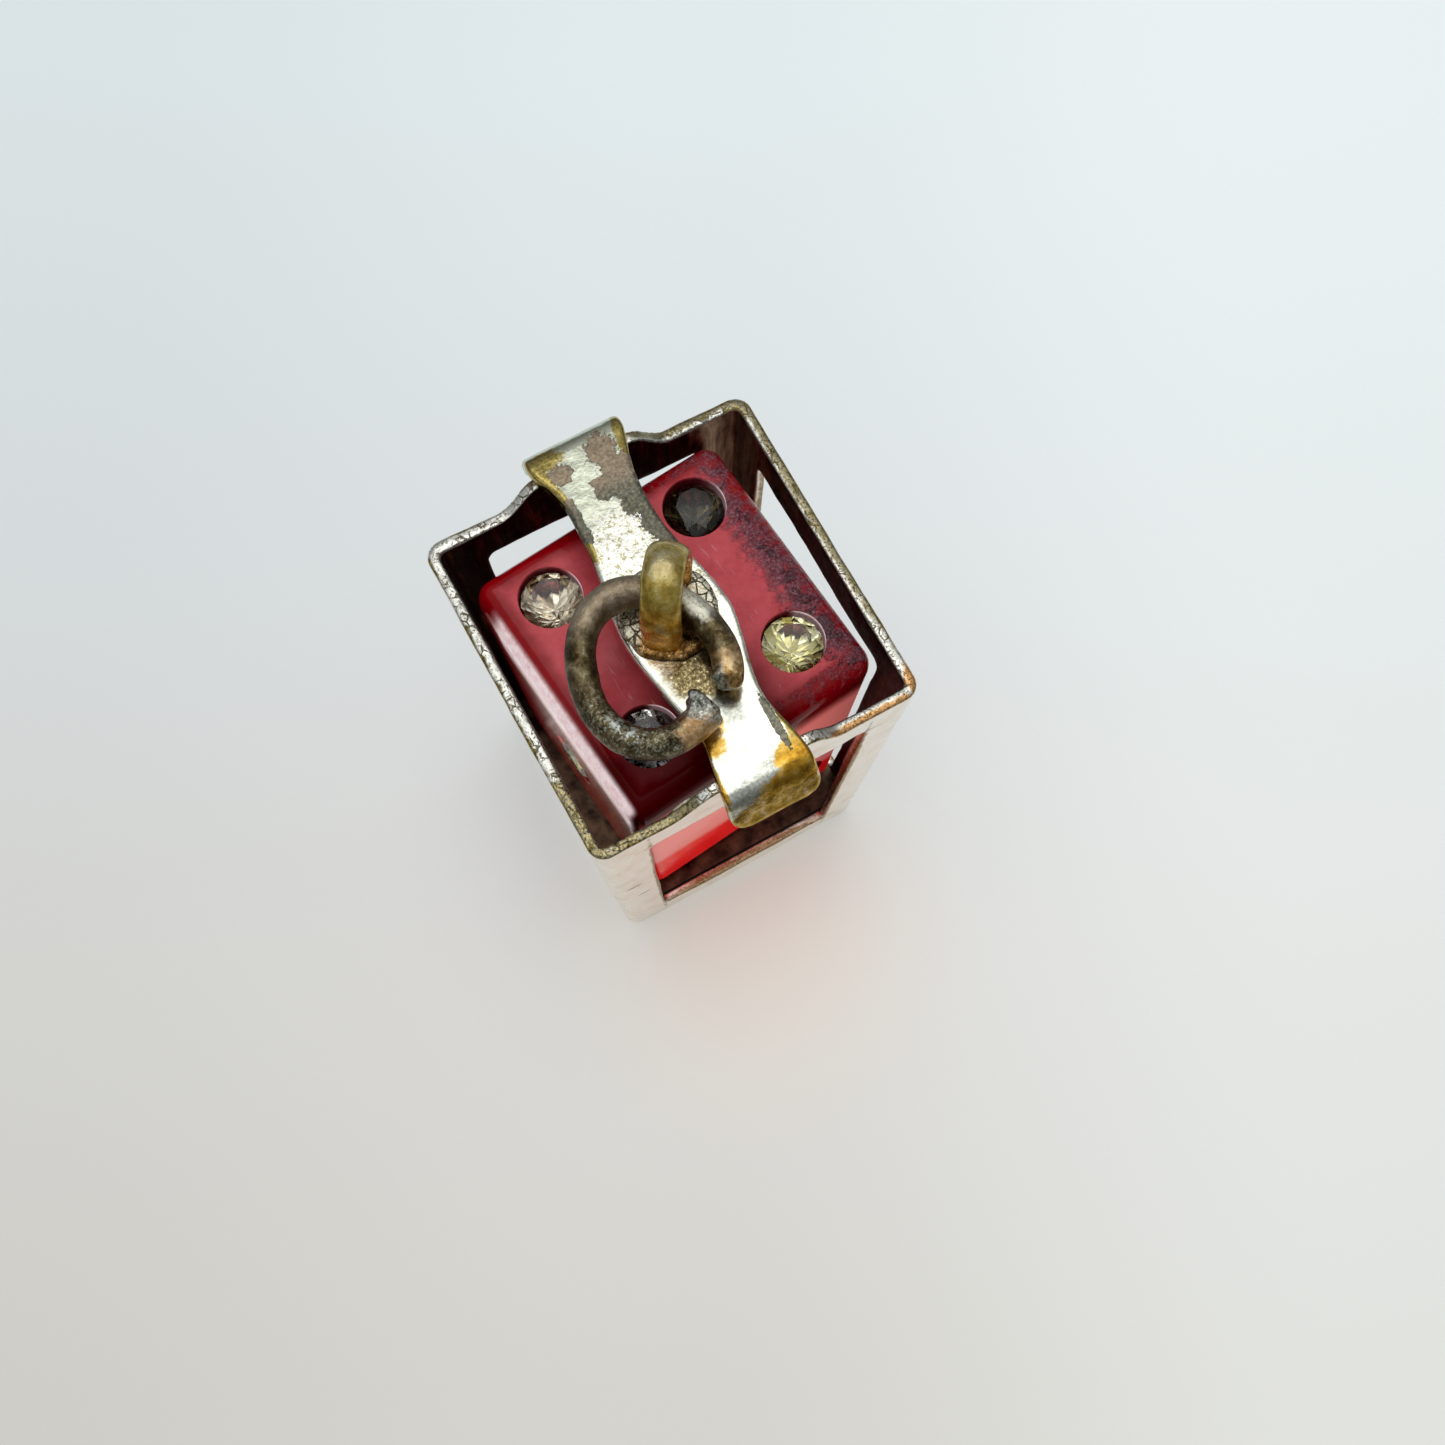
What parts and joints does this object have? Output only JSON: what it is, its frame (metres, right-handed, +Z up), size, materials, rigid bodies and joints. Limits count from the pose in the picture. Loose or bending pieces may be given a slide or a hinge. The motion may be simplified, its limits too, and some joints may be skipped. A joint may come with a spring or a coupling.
{
  "type": "caged rhinestone die charm",
  "caption": "Small plated metal cage holding a loose red die with a rhinestone in every pip; a strap over the top carries a soldered loop and a split jump ring.",
  "frame": {"origin": "middle of the cage's base, on the surface it stands on", "axes": "+Z up through the jump ring's loop; +X along the near panel to the right; +Y from the near panel to the far one, along the strap"},
  "size_m": [0.014, 0.017, 0.0182],
  "materials": {
    "silver_plate": "thin silver plating, tarnished and worn to brass on its edges",
    "brassy_wire": "flattened wire worn to olive and amber brass",
    "solder": "crackled solder with a copper edge",
    "tarnished_wire": "grey-brown tarnish over silver, brassy at the ends",
    "red_plastic": "deep red gloss, scuffed along the edges",
    "stone_glass": "foil-backed faceted glass, yellowed",
    "dark_glass": "faceted glass whose foil has blackened"
  },
  "bodies": {
    "cage": {"side_band": "silver_plate", "base_plate": "silver_plate", "top_strap": "silver_plate", "hanging_loop": "brassy_wire", "loop_solder": "solder"},
    "die": {"die": "red_plastic", "stone_top_1": "stone_glass", "stone_top_2": "stone_glass", "stone_top_3": "stone_glass", "stone_top_4": "dark_glass", "stone_top_5": "stone_glass", "stone_bottom_1": "stone_glass", "stone_bottom_2": "stone_glass", "stone_near_1": "stone_glass", "stone_near_2": "stone_glass", "stone_near_3": "stone_glass", "stone_far_1": "stone_glass", "stone_far_2": "stone_glass", "stone_far_3": "stone_glass", "stone_far_4": "stone_glass", "stone_right_1": "stone_glass", "stone_right_2": "stone_glass", "stone_right_3": "stone_glass", "stone_right_4": "stone_glass", "stone_right_5": "stone_glass", "stone_right_6": "stone_glass", "stone_left_1": "stone_glass"},
    "ring": {"jump_ring": "tarnished_wire"}
  },
  "joints": [
    {"name": "die_rattle", "type": "slide", "parent": "cage", "child": "die", "axis": [0, 0, 1], "range_m": [0, 0.0013]},
    {"name": "ring_swing", "type": "hinge", "parent": "cage", "child": "ring", "pos_m": [-0.00033, -0.00045, 0.01636], "axis": [-0.7615, 0.6481, 0], "range_deg": [0, 175]}
  ]
}
